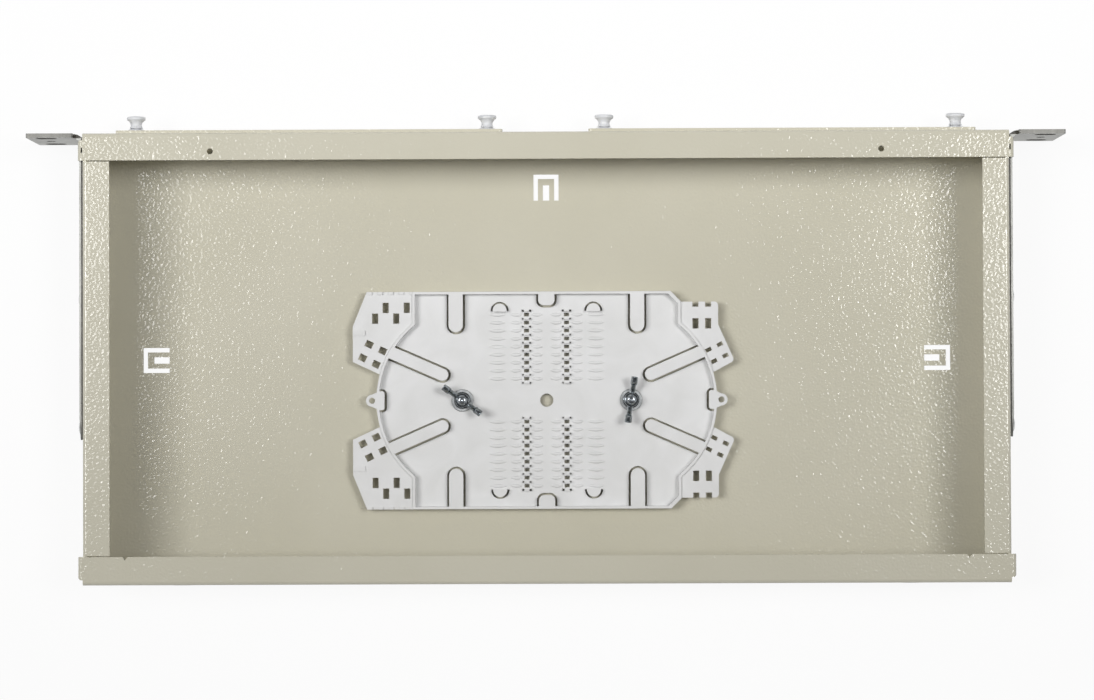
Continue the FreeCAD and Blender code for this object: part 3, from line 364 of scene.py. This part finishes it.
class Finish:
    """A material with its shader and short ways to add nodes on Object coordinates."""

    def __init__(self, name):
        self.material = bpy.data.materials.new(name)
        self.material.use_nodes = True
        self.tree = self.material.node_tree
        self.shader = self.tree.nodes["Principled BSDF"]
        self.place = self.add("ShaderNodeTexCoord").outputs["Object"]

    def add(self, kind, **settings):
        node = self.tree.nodes.new(kind)
        for setting, value in settings.items():
            setattr(node, setting, value)
        return node

    def link(self, output, socket):
        self.tree.links.new(output, socket)

    def set(self, **values):
        """Sets sockets of the shader that are the same all over, words joined by underscores."""
        for name, value in values.items():
            self.shader.inputs[name.replace("_", " ")].default_value = value

    def colour(self, output):
        self.link(output, self.shader.inputs["Base Color"])

    def roughness(self, output):
        self.link(output, self.shader.inputs["Roughness"])

    def metallic(self, output):
        self.link(output, self.shader.inputs["Metallic"])

    def axes(self):
        """The three coordinates, each by itself."""
        node = self.add("ShaderNodeSeparateXYZ")
        self.link(self.place, node.inputs["Vector"])
        return [node.outputs[axis] for axis in "XYZ"]

    def stretched(self, scale):
        """Coordinates drawn out along an axis."""
        mapping = self.add("ShaderNodeMapping")
        mapping.inputs["Scale"].default_value = scale
        self.link(self.place, mapping.inputs["Vector"])
        return mapping.outputs["Vector"]

    def noise(self, cell, detail=2.0, roughness=0.5, distortion=0.0, along=None):
        """Noise with cells of a size in millimetres."""
        node = self.add("ShaderNodeTexNoise")
        node.inputs["Scale"].default_value = 1 / (cell * MM)
        node.inputs["Detail"].default_value = detail
        node.inputs["Roughness"].default_value = roughness
        node.inputs["Distortion"].default_value = distortion
        self.link(along or self.place, node.inputs["Vector"])
        return node.outputs["Fac"]

    def spangle(self, cell):
        """Crystals of a size in millimetres, each of one grey."""
        crystals = self.add("ShaderNodeTexVoronoi", feature="F1")
        crystals.inputs["Scale"].default_value = 1 / (cell * MM)
        self.link(self.place, crystals.inputs["Vector"])
        grey = self.add("ShaderNodeRGBToBW")
        self.link(crystals.outputs["Color"], grey.inputs["Color"])
        return grey.outputs["Val"]

    def between(self, value, low, high, start=0.3, end=0.7, ease="LINEAR"):
        """A value spread over another range."""
        node = self.add("ShaderNodeMapRange", interpolation_type=ease)
        for name, number in (("From Min", start), ("From Max", end), ("To Min", low), ("To Max", high)):
            node.inputs[name].default_value = number
        self.link(value, node.inputs["Value"])
        return node.outputs["Result"]

    def blend(self, value, dark, light, start=0.3, end=0.7):
        """A colour between two, led by a value."""
        ramp = self.add("ShaderNodeValToRGB")
        ramp.color_ramp.elements[0].position = start
        ramp.color_ramp.elements[1].position = end
        ramp.color_ramp.elements[0].color = (*dark, 1)
        ramp.color_ramp.elements[1].color = (*light, 1)
        self.link(value, ramp.inputs["Fac"])
        return ramp.outputs["Color"]

    def mixed(self, share, colour, other):
        """A colour that gives way to another by a share."""
        node = self.add("ShaderNodeMix", data_type="RGBA")
        self.link(share, node.inputs["Factor"])
        self.link(colour, node.inputs["A"])
        node.inputs["B"].default_value = (*other, 1)
        return node.outputs["Result"]

    def math(self, operation, first, second=None):
        node = self.add("ShaderNodeMath", operation=operation)
        self.link(first, node.inputs[0])
        if second:
            self.link(second, node.inputs[1])
        return node.outputs["Value"]

    def sum(self, first, second, share):
        """A first value plus a share of a second."""
        node = self.add("ShaderNodeMath", operation="MULTIPLY_ADD")
        node.inputs[1].default_value = share
        self.link(second, node.inputs[0])
        self.link(first, node.inputs[2])
        return node.outputs["Value"]

    def within(self, value, low, high):
        """One where a value lies between two lengths in metres, else nought."""
        node = self.add("ShaderNodeMath", operation="COMPARE")
        node.inputs[1].default_value = (low + high) / 2
        node.inputs[2].default_value = (high - low) / 2
        self.link(value, node.inputs[0])
        return node.outputs["Value"]

    def bump(self, height, depth):
        """Bumps of a depth in millimetres."""
        node = self.add("ShaderNodeBump")
        node.inputs["Strength"].default_value = 1.0
        node.inputs["Distance"].default_value = depth * MM
        self.link(height, node.inputs["Height"])
        self.link(node.outputs["Normal"], self.shader.inputs["Normal"])


def shade(*screen):
    """A colour in screen values, each above 10, as the linear one that shaders take."""
    return tuple(((value / 255 + 0.055) / 1.055) ** 2.4 for value in screen)


def powder_coat(name):
    """Cream-grey coat with the pebbled skin of a baked powder."""
    finish = Finish(name)
    drift = finish.noise(cell=90, detail=3)
    finish.colour(finish.blend(drift, dark=shade(203, 199, 181), light=shade(209, 205, 188)))
    peel = finish.noise(cell=1.3, detail=0.5, roughness=0.4, distortion=0.2)
    pebbles = finish.noise(cell=1.7, detail=0.5)
    grains = finish.between(pebbles, low=0.0, high=1.0, start=0.5, end=0.75, ease="SMOOTHSTEP")
    fine = finish.noise(cell=0.3, detail=1)
    skin = finish.sum(finish.sum(peel, grains, share=0.3), fine, share=0.03)
    finish.bump(skin, depth=0.094)
    finish.roughness(finish.between(peel, low=0.06, high=0.1))
    finish.set(IOR=1.5)
    return finish.material


def galvanised(name):
    """Bare zinc-coated sheet with faint spangle and rolling lines, dull where it was sheared, with painted shade
    in its slots, along its legs and on its upper edge.
    """
    finish = Finish(name)
    spangle = finish.spangle(cell=5.0)
    cloud = finish.noise(cell=14, detail=4)
    tone = finish.sum(cloud, spangle, share=0.25)
    face = finish.blend(tone, dark=shade(143, 143, 139), light=shade(171, 171, 167), start=0.35, end=0.95)
    torn_and_shaded = torn_metal_and_painted_shade(finish)
    # Dark brown for torn metal, also painted shade in the slots, along the legs next to the case wall and on the
    # upper edge
    finish.colour(finish.mixed(torn_and_shaded, face, shade(70, 66, 58)))
    lines = finish.noise(cell=1.2, detail=3, along=finish.stretched(ROLLING_LINES))
    sheen = finish.sum(lines, spangle, share=0.3)
    finish.roughness(finish.between(sheen, low=0.36, high=0.52, start=0.3, end=1.0))
    finish.bump(lines, depth=0.012)
    finish.metallic(finish.between(torn_and_shaded, low=0.9, high=0.0, start=0.0, end=1.0))
    return finish.material


def torn_metal_and_painted_shade(finish):
    """One where the ears are darkened, partly torn metal and partly painted shade: along their legs and in their
    slots, a share of it on their upper edge.
    """
    low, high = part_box("right_rack_ear")
    across, depth, height = finish.axes()
    leg = finish.within(finish.math("ABSOLUTE", across), low.x - MARGIN * MM, low.x + TORN_AND_SHADED_LEG * MM)
    sheet = finish.within(depth, low.y + TORN_AND_SHADED_SLOT[0] * MM, low.y + TORN_AND_SHADED_SLOT[1] * MM)
    between_ends = finish.within(height, low.z + TORN_AND_SHADED_CLEAR * MM, high.z - TORN_AND_SHADED_CLEAR * MM)
    upper_edge = finish.within(height, high.z - TORN_AND_SHADED_RIM * MM, high.z + MARGIN * MM)
    torn_and_shaded = finish.math("MAXIMUM", leg, finish.math("MULTIPLY", sheet, between_ends))
    rim = finish.between(upper_edge, low=0.0, high=TORN_AND_SHADED_RIM_SHARE, start=0.0, end=1.0)
    return finish.math("MAXIMUM", torn_and_shaded, rim)


def zinc(name, dark, light, low=0.2, high=0.36):
    """Plated small parts with the cloudy sheen of a zinc bath, their roughness from low to high."""
    finish = Finish(name)
    cloud = finish.noise(cell=2.4, detail=4, roughness=0.6)
    finish.colour(finish.blend(cloud, dark, light))
    grain = finish.noise(cell=0.35, detail=2)
    finish.roughness(finish.between(grain, low, high))
    finish.bump(finish.sum(cloud, grain, share=0.4), depth=0.03)
    finish.set(Metallic=1.0)
    return finish.material


def moulded_white(name):
    """White moulded plastic with a faint flow pattern and a satin skin, with painted shade in its slits, comb
    holes and underneath.
    """
    finish = Finish(name)
    flow = finish.noise(cell=22, detail=3, distortion=1.2)
    face = finish.blend(flow, dark=shade(221, 221, 220), light=shade(229, 229, 229))
    # Painted shade: dark grey on the walls of the slits and comb holes and on the tray's underside
    finish.colour(finish.mixed(painted_shade_under_floor(finish), face, shade(96, 94, 88)))
    skin = finish.noise(cell=0.6, detail=2)
    satin = finish.sum(flow, skin, share=0.4)
    finish.roughness(finish.between(satin, low=0.38, high=0.5, start=0.4, end=1.0))
    finish.bump(skin, depth=0.012)
    finish.set(IOR=1.5)
    return finish.material


def painted_shade_under_floor(finish):
    """Where shade is painted: one in the slits and comb holes of the tray's floor and on its underside, else
    nought.
    """
    low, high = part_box("splice_tray")
    across, depth, height = finish.axes()
    lengthways = finish.within(finish.math("ABSOLUTE", across), -MM, SLIT_REACH * MM)
    crossways = finish.within(depth, low.y + SLIT_INSET * MM, high.y - SLIT_INSET * MM)
    below = finish.within(height, low.z - MM, tray_floor() - SLIT_EDGE * MM)
    return finish.math("MULTIPLY", finish.math("MULTIPLY", lengthways, crossways), below)


def nylon(name):
    """Milky nylon that lets some light through."""
    finish = Finish(name)
    milk = finish.noise(cell=5, detail=3)
    finish.colour(finish.blend(milk, dark=shade(207, 209, 212), light=shade(220, 221, 224)))
    skin = finish.noise(cell=0.5, detail=2)
    finish.roughness(finish.between(skin, low=0.3, high=0.42))
    finish.bump(skin, depth=0.01)
    finish.set(IOR=1.53, Subsurface_Weight=0.35, Subsurface_Radius=(0.003, 0.003, 0.0032))
    return finish.material


def rubber(name):
    """Black rubber with a dull moulded grain."""
    finish = Finish(name)
    bloom = finish.noise(cell=6, detail=4)
    finish.colour(finish.blend(bloom, dark=shade(30, 30, 31), light=shade(46, 46, 47)))
    grain = finish.noise(cell=0.4, detail=3)
    finish.roughness(finish.between(grain, low=0.5, high=0.68))
    finish.bump(grain, depth=0.03)
    return finish.material


def sheet_pieces(coat, steel):
    """Case, adapter plates and rack ears, with the soft edges of coat and shear."""
    dressed(softened("case", "case_shell", COAT_EDGE), "case", coat)
    for side in SIDES:
        plate = side + "_adapter_plate"
        dressed(softened(plate, plate + "_face", COAT_EDGE), plate, coat)
        ear = side + "_rack_ear"
        dressed(softened(ear, ear + "_bracket", SHEARED_EDGE), ear, steel)


def tray(white):
    """The moulding: slits drafted, comb fingers pressed low, rims of wall, tongues and lugs rounded over."""
    piece = merged_copy("splice_tray", "splice_tray_moulding")
    low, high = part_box("splice_tray")
    middle_line = (low.y + high.y) / 2
    floor = tray_floor()

    def in_comb(point):
        return abs(point.x) < COMB_REACH * MM and abs(point.y - middle_line) < COMB_DEPTH * MM

    def slit_wall(face):
        in_floor = all(corner.co.z < floor + MERGE for corner in face.verts)
        return in_floor and not in_comb(face.calc_center_median()) and abs(face.normal.z) < UPRIGHT

    def on_finger(corner):
        return in_comb(corner.co) and FINGER_FOOT * MM < corner.co.z - floor < FINGER_TOP * MM

    def on_rim(edge):
        level = all(abs(corner.co.z - high.z) < MERGE for corner in edge.verts)
        return level and edge.calc_face_angle(0) > SHARP

    bpy.ops.object.mode_set(mode="EDIT")
    bpy.ops.mesh.select_all(action="SELECT")
    bpy.ops.mesh.dissolve_limited(angle_limit=FLAT)
    pick(piece, "FACE", slit_wall)
    bpy.ops.transform.shrink_fatten(value=-SLIT_DRAFT * MM, use_even_offset=True)
    pick(piece, "VERT", on_finger)
    bpy.ops.transform.resize(value=(1, 1, FINGER_SHARE), center_override=(0, 0, floor))
    pick(piece, "EDGE", on_rim)
    bpy.ops.mesh.bevel(offset=MOULDED_EDGE * MM, segments=EDGE_STEPS, affect="EDGES", clamp_overlap=False)
    bpy.ops.mesh.select_mode(type="VERT")
    bpy.ops.object.mode_set(mode="OBJECT")
    smooth(piece, FINGER_SMOOTH)
    modify(piece, "WEIGHTED_NORMAL", keep_sharp=True)
    dressed(piece, "splice_tray", white)


def latches(milky):
    """Collars with four sprung legs and the knobs that run in them."""
    collar = turned("collar_pattern", COLLAR_PROFILE)
    crossed_cut(collar, LEG_CUT_SPAN, LEG_CUT_WIDTH, LEG_CUT_LENGTH, LEG_CUT_END + LEG_CUT_LENGTH / 2)
    knob = turned("knob_pattern", PLUNGER_PROFILE)
    out_of_plate = (math.pi / 2, 0, 0)
    for number in LATCHES:
        plunger = "latch_plunger_%d" % number
        grommet = "latch_grommet_%d" % number
        place = middle(plunger)
        place.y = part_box("left_adapter_plate")[0].y
        for pattern, node, word in ((knob, plunger, "_knob"), (collar, grommet, "_collar")):
            smooth_and_dressed(copied(pattern, node + word, place, out_of_plate), node, milky)
    bpy.data.objects.remove(knob)
    bpy.data.objects.remove(collar)


def nut_wing():
    """One wing of a nut, drawn out from a block through its stations and smoothed."""
    reach, height, width, depth = WING_STATIONS[0]
    wing = block("wing_pattern", (WING_ROOT, width, depth), (reach * MM, 0, height * MM))
    bpy.ops.object.mode_set(mode="EDIT")
    bpy.ops.mesh.select_mode(type="FACE")
    for next_reach, next_height, next_width, next_depth in WING_STATIONS[1:]:
        mesh = bmesh.from_edit_mesh(wing.data)
        outermost = max(mesh.faces, key=lambda face: face.calc_center_median().x)
        bpy.ops.mesh.select_all(action="DESELECT")
        outermost.select = True
        bmesh.update_edit_mesh(wing.data)
        step = ((next_reach - reach) * MM, 0, (next_height - height) * MM)
        bpy.ops.mesh.extrude_region_move(TRANSFORM_OT_translate={"value": step})
        bpy.ops.transform.resize(value=(1, next_width / width, next_depth / depth),
                                 center_override=(next_reach * MM, 0, next_height * MM))
        reach, height, width, depth = next_reach, next_height, next_width, next_depth
    bpy.ops.object.mode_set(mode="OBJECT")
    modify(wing, "SUBSURF", levels=WING_LEVELS, render_levels=WING_LEVELS)
    return wing


def wing_nuts(bluish):
    """A turned hub with two cast wings."""
    hub = turned("hub_pattern", HUB_PROFILE, FINE_AROUND)
    wing = nut_wing()
    combined(hub, [wing, copied(wing, "other_wing", (0, 0, 0), (0, 0, math.pi))], "UNION")
    for side, turn in zip(SIDES, NUT_TURNS):
        node = side + "_wing_nut"
        place = middle(node)
        place.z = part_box(node)[0].z
        smooth_and_dressed(copied(hub, node + "_cast", place, (0, 0, math.radians(turn))), node, bluish)
    bpy.data.objects.remove(hub)


def thread(length):
    """A screw thread about Z, one sharp ridge wound up the shank."""
    inside = STUD_RADIUS - THREAD_DEPTH - THREAD_OVERLAP
    bpy.ops.object.select_all(action="DESELECT")
    bpy.ops.mesh.primitive_circle_add(vertices=3, radius=MM)
    ridge = named("thread")
    corners = [(inside, -THREAD_HALF), (STUD_RADIUS, 0), (inside, THREAD_HALF)]
    for vertex, (x, z) in zip(ridge.data.vertices, corners):
        vertex.co = Vector((x, 0, z)) * MM
    modify(ridge, "SCREW", axis="Z", angle=2 * math.pi, screw_offset=THREAD_PITCH * MM,
           iterations=int(length / THREAD_PITCH), steps=THREAD_STEPS, render_steps=THREAD_STEPS,
           use_merge_vertices=True)
    bpy.ops.object.mode_set(mode="EDIT")
    close_shell()
    return ridge


def tray_studs(metal):
    """Studs with their head, thread and dimpled tip."""
    for side in SIDES:
        node = side + "_tray_stud"
        low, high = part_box(node)
        length = (high.z - low.z) / MM
        head = (high.x - low.x) / 2 / MM
        root = STUD_RADIUS - THREAD_DEPTH
        foot = [(STUD_FOOT, 0.0), (head - STUD_HEAD_EDGE, 0.0), (head, STUD_HEAD_EDGE), (head, STUD_HEAD),
                (root, STUD_HEAD)]
        tip = [(radius, length - depth) for radius, depth in STUD_TIP]
        shank = turned("shank", foot + tip)
        ridge = seated(thread(length - THREAD_SHORT), (0, 0, THREAD_START * MM))
        stud = joined([shank, ridge], node + "_threaded")
        place = middle(node)
        smooth_and_dressed(seated(stud, (place.x, place.y, low.z)), node, metal)


def tray_washers(metal):
    """Washers with broken edges."""
    bore, edge = WASHER_BORE, WASHER_EDGE
    for side in SIDES:
        node = side + "_tray_washer"
        low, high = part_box(node)
        rim = (high.x - low.x) / 2 / MM
        thick = (high.z - low.z) / MM
        washer = turned(node + "_ring", [
            (bore, edge), (bore + edge, 0), (rim - edge, 0), (rim, edge), (rim, thick - 2 * edge),
            (rim - 2 * edge, thick), (bore + edge, thick), (bore, thick - edge), (bore, edge),
        ], FINE_AROUND)
        place = middle(node)
        smooth_and_dressed(seated(washer, (place.x, place.y, low.z)), node, metal)


def ear_fixings(plated):
    """Pan-head screws with a cross recess, and the press nuts behind them."""
    screw = turned("screw_pattern", SCREW_PROFILE)
    top = SCREW_PROFILE[-1][1]
    crossed_cut(screw, 2 * RECESS_ARM, RECESS_WIDTH, RECESS_DEPTH, top - RECESS_DEPTH / 2 + RECESS_RISE)
    nut = turned("press_nut_pattern", PRESS_NUT_PROFILE)
    for side, sign in zip(SIDES, (-1, 1)):
        outwards = (0, sign * math.pi / 2, 0)
        for spot in PLACES:
            node = "%s_ear_screw_%s" % (side, spot)
            low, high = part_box(node)
            place = middle(node)
            place.x = (high.x if sign > 0 else low.x) - sign * top * MM
            smooth_and_dressed(copied(screw, node + "_head", place, outwards), node, plated)
            node = "%s_ear_nut_%s" % (side, spot)
            low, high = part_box(node)
            place.x = low.x if sign > 0 else high.x
            smooth_and_dressed(copied(nut, node + "_ring", place, outwards), node, plated)
    bpy.data.objects.remove(screw)
    bpy.data.objects.remove(nut)


def cable_grommets(black):
    """Rounded rubber rings in the back wall."""
    for side in SIDES:
        node = side + "_cable_grommet"
        place = middle(node)
        place.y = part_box("case")[1].y
        ring = turned(node + "_ring", RUBBER_PROFILE, FINE_AROUND)
        smooth_and_dressed(seated(ring, place, (-math.pi / 2, 0, 0)), node, black)


def light_path(tree):
    """One where the camera, a gloss or a clear part sees the surface straight, else nought."""
    path = tree.nodes.new("ShaderNodeLightPath")
    seen = path.outputs["Is Camera Ray"]
    for name in ("Is Glossy Ray", "Is Transmission Ray"):
        node = tree.nodes.new("ShaderNodeMath")
        node.operation = "MAXIMUM"
        tree.links.new(seen, node.inputs[0])
        tree.links.new(path.outputs[name], node.inputs[1])
        seen = node.outputs["Value"]
    return seen


def floor_white():
    """White that glows by a share where it is seen straight, and keeps a light shadow."""
    material = bpy.data.materials.new("pale_floor")
    material.use_nodes = True
    tree = material.node_tree
    shader = tree.nodes["Principled BSDF"]
    shader.inputs["Base Color"].default_value = FLOOR_WHITE
    shader.inputs["Roughness"].default_value = FLOOR_ROUGHNESS
    glow = tree.nodes.new("ShaderNodeEmission")
    share = tree.nodes.new("ShaderNodeMath")
    share.operation = "MULTIPLY"
    share.inputs[1].default_value = FLOOR_GLOW
    tree.links.new(light_path(tree), share.inputs[0])
    mix = tree.nodes.new("ShaderNodeMixShader")
    tree.links.new(share.outputs["Value"], mix.inputs["Fac"])
    tree.links.new(shader.outputs["BSDF"], mix.inputs[1])
    tree.links.new(glow.outputs["Emission"], mix.inputs[2])
    tree.links.new(mix.outputs["Shader"], tree.nodes["Material Output"].inputs["Surface"])
    return material


def pale_floor():
    """A wide white floor, turned up into a low wall all round."""
    bpy.ops.object.select_all(action="DESELECT")
    bpy.ops.mesh.primitive_plane_add(size=FLOOR_WIDTH)
    floor = named("floor")
    bpy.ops.object.mode_set(mode="EDIT")
    bpy.ops.mesh.select_mode(type="EDGE")
    bpy.ops.mesh.select_all(action="SELECT")
    bpy.ops.mesh.region_to_loop()
    bpy.ops.mesh.extrude_edges_move(TRANSFORM_OT_translate={"value": (0, 0, WALL_HEIGHT)})
    bpy.ops.mesh.select_all(action="SELECT")
    bpy.ops.mesh.normals_make_consistent(inside=True)
    bpy.ops.mesh.select_mode(type="VERT")
    bpy.ops.object.mode_set(mode="OBJECT")
    floor.data.materials.append(floor_white())


def white_world():
    """A dim white light from all sides."""
    world = bpy.data.worlds.new("studio")
    bpy.context.scene.world = world
    world.use_nodes = True
    background = world.node_tree.nodes["Background"]
    background.inputs["Color"].default_value = WORLD_WHITE
    background.inputs["Strength"].default_value = WORLD_STRENGTH


def softbox(name, place, aim, width, power):
    """A broad lamp with a grid that narrows its beam."""
    bpy.ops.object.light_add(type="AREA", location=place)
    lamp = named(name)
    lamp.data.shape = "RECTANGLE"
    lamp.data.size = LAMP_DEPTH
    lamp.data.size_y = width
    lamp.data.energy = power
    lamp.data.spread = BEAM
    lamp.rotation_euler = (Vector(aim) - Vector(place)).to_track_quat("-Z", "Y").to_euler()


def camera():
    """The view almost straight down, with the front edge at the top."""
    bpy.ops.object.camera_add(location=EYE)
    view = named("view")
    view.data.sensor_width = SENSOR
    view.data.lens = SENSOR * FOCAL_PIXELS / PICTURE_WIDTH
    view.data.clip_end = VIEW_REACH
    ahead = (AIM - EYE).normalized()
    right = ahead.cross(Vector((0, -1, 0))).normalized()
    above = right.cross(ahead)
    axes = Matrix((right, above, -ahead)).transposed()
    view.rotation_euler = (axes @ Matrix.Rotation(ROLL, 3, "Z")).to_euler()
    bpy.context.scene.camera = view


sheet_pieces(powder_coat("cream_powder_coat"), galvanised("galvanised_sheet"))
tray(moulded_white("white_moulding"))
latches(nylon("milky_nylon"))
wing_nuts(zinc("blue_zinc", shade(98, 105, 110), shade(178, 184, 188), low=0.08, high=0.16))
tray_studs(zinc("stud_zinc", shade(140, 146, 152), shade(190, 195, 200), low=0.12, high=0.24))
tray_washers(zinc("washer_zinc", shade(170, 173, 175), shade(200, 202, 203), low=0.26, high=0.38))
ear_fixings(zinc("bright_zinc", shade(168, 170, 170), shade(206, 207, 205)))
cable_grommets(rubber("black_rubber"))

pale_floor()
white_world()
for lamp_name, settings in LAMPS.items():
    softbox(lamp_name, **settings)
camera()
bpy.context.scene.view_settings.view_transform = "Standard"
